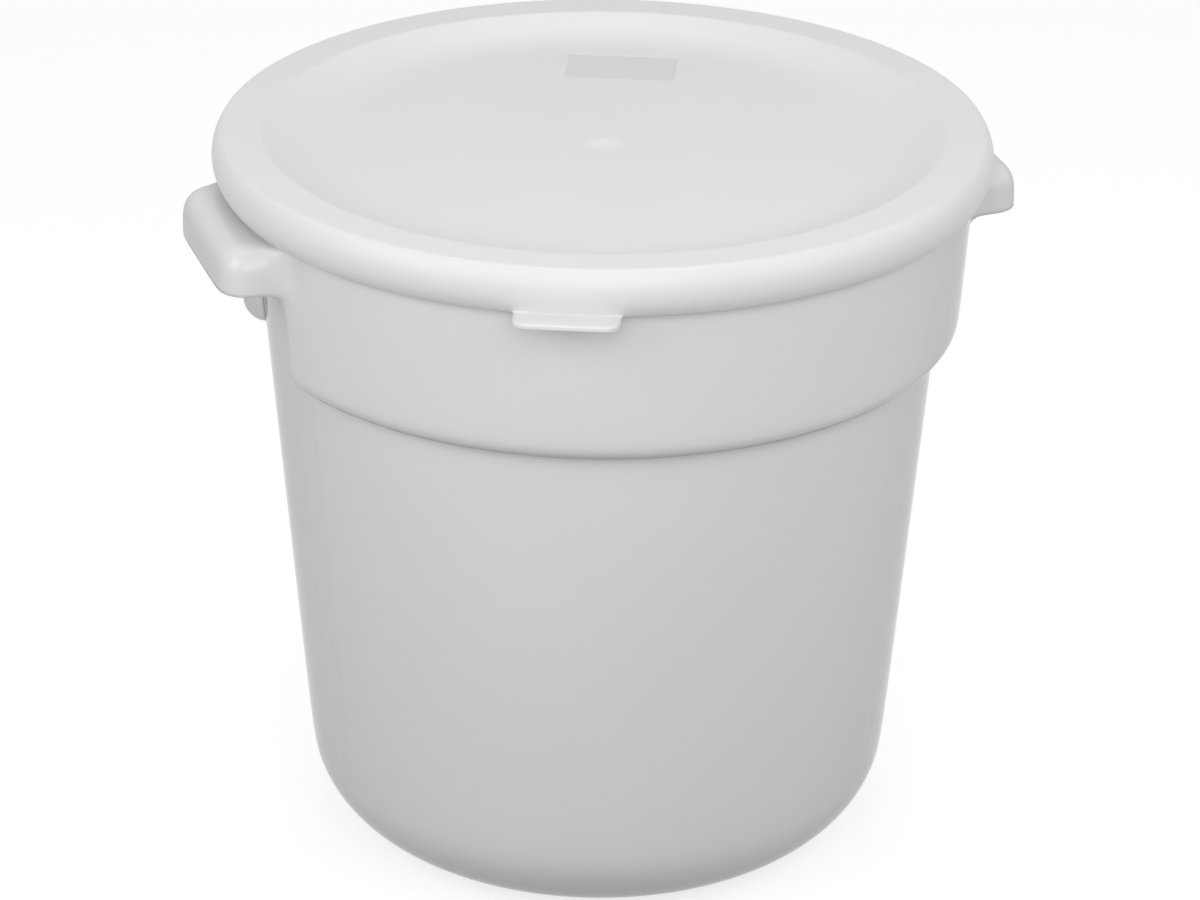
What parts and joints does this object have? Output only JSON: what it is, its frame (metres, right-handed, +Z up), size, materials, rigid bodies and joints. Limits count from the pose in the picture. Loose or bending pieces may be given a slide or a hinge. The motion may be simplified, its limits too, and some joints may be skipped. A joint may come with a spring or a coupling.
{
  "type": "round food container",
  "caption": "Tapered round food storage tub with a stepped collar, hooded side handles and a press-on dished lid with a lift tab.",
  "frame": {"origin": "centre of the flat underside of the container, on the surface it stands on", "axes": "+Z up along the axis of the container; +X through the middle of one handle, with the other handle along -X"},
  "size_m": [0.3638, 0.3441, 0.3324],
  "materials": {
    "container_plastic": "smooth glossy injection-moulded white polyethylene",
    "lid_plastic": "satin injection-moulded white polyethylene with a matt field for writing on"
  },
  "bodies": {
    "container_body": {"container": "container_plastic"},
    "lid_body": {"lid": "lid_plastic"}
  },
  "joints": [
    {"name": "lid_lift", "type": "slide", "parent": "container_body", "child": "lid_body", "axis": [0, 0, 1], "range_m": [0, 0.15]}
  ]
}
